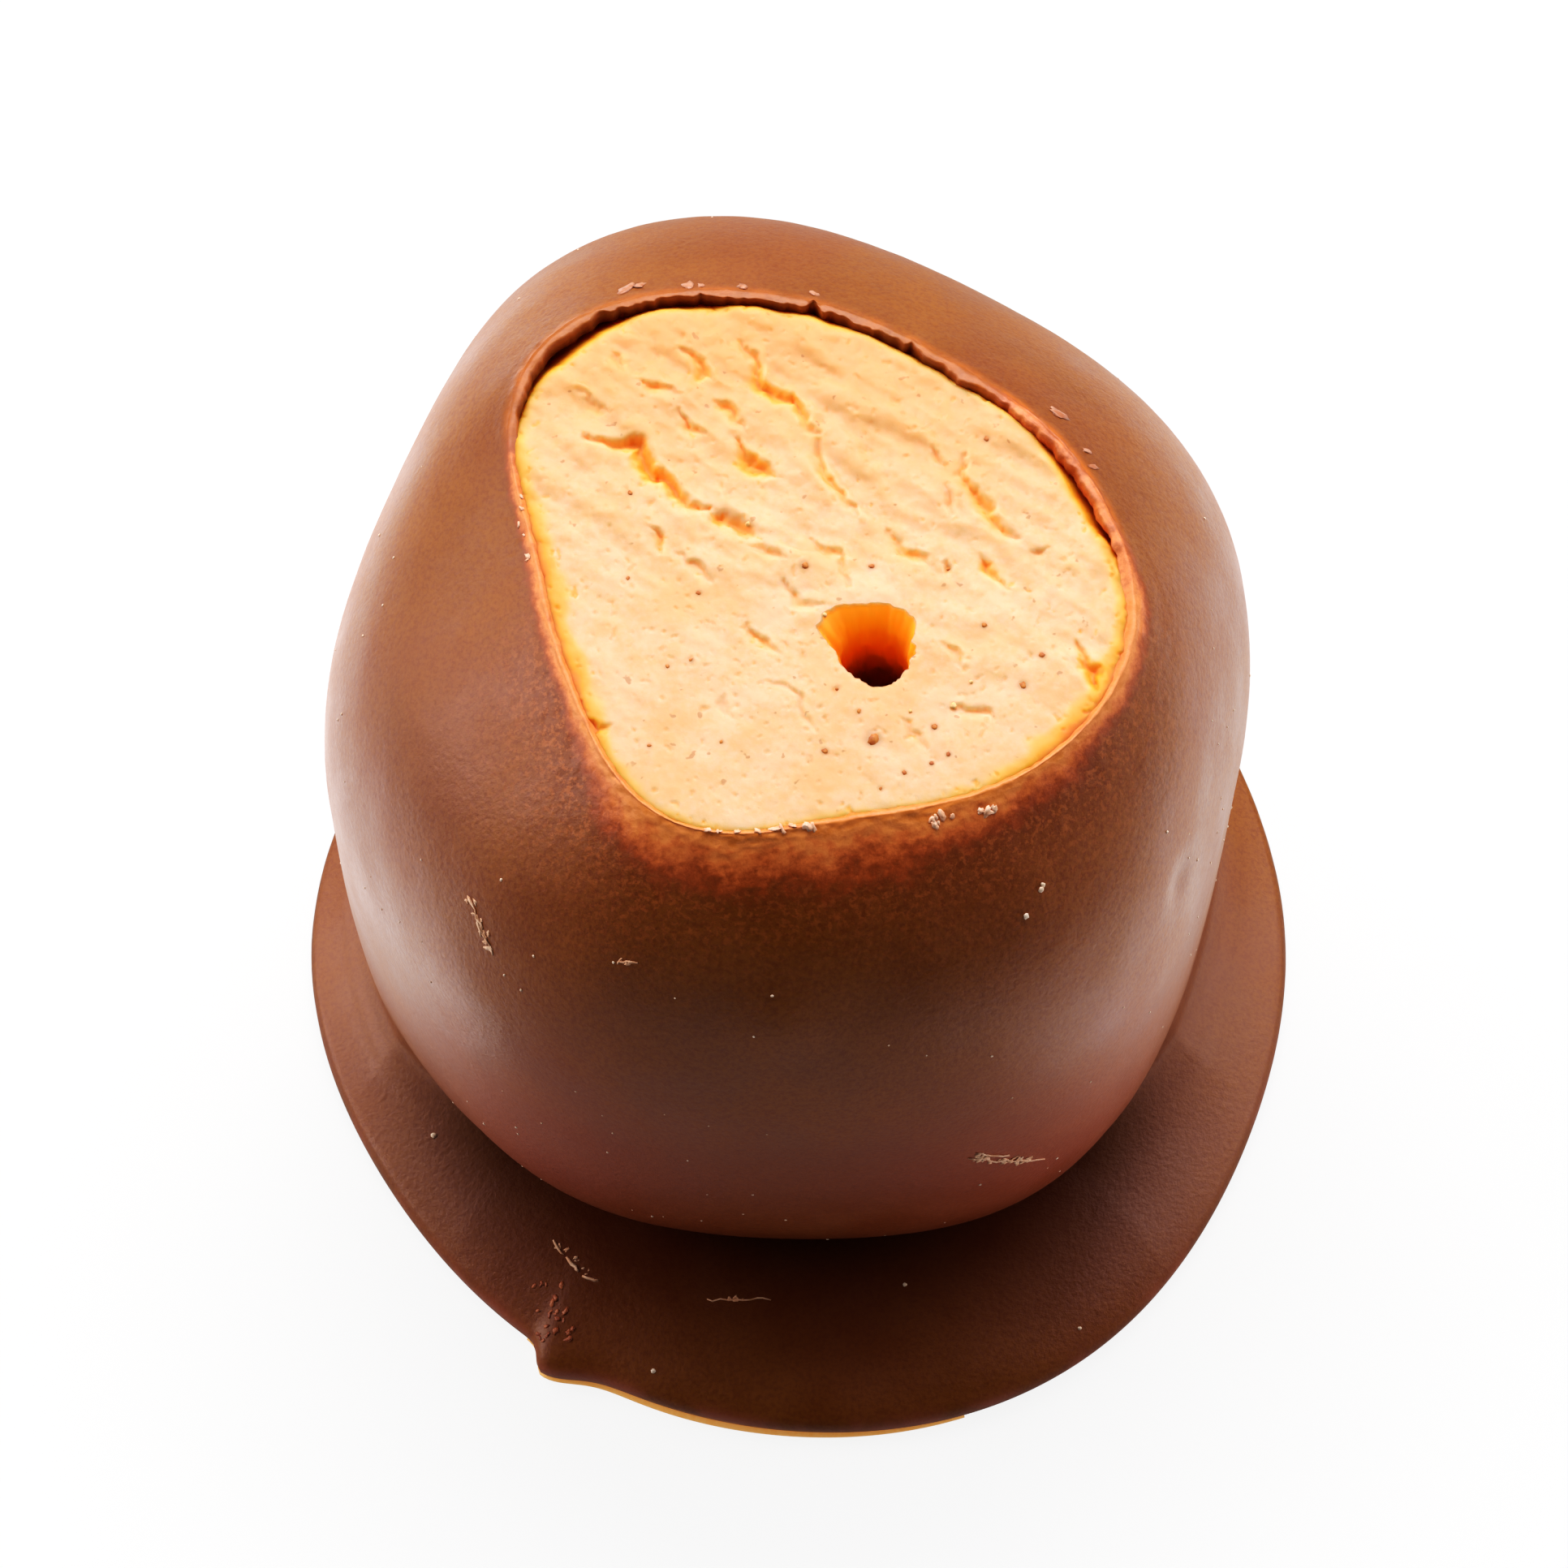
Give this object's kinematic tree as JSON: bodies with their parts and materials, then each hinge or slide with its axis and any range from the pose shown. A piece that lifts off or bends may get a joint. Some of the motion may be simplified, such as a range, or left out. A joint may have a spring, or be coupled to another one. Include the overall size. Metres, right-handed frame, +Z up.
{
  "type": "peanut butter buckeye candy",
  "caption": "Soft ball of peanut butter dipped in milk chocolate, open at the top in a window, with a dipping stick's hole and a thin foot of set chocolate.",
  "frame": {"origin": "on the table, under the middle of the foot's outline", "axes": "+Z up, +Y to the candy's back, +X to its right as the picture shows it"},
  "size_m": [0.0326, 0.035, 0.0248],
  "materials": {
    "milk_chocolate": "satin milk chocolate",
    "peanut_butter": "matt, slightly crumbly peanut butter dough"
  },
  "bodies": {
    "root": {"chocolate_coat": "milk_chocolate", "peanut_butter_filling": "peanut_butter"}
  },
  "joints": []
}
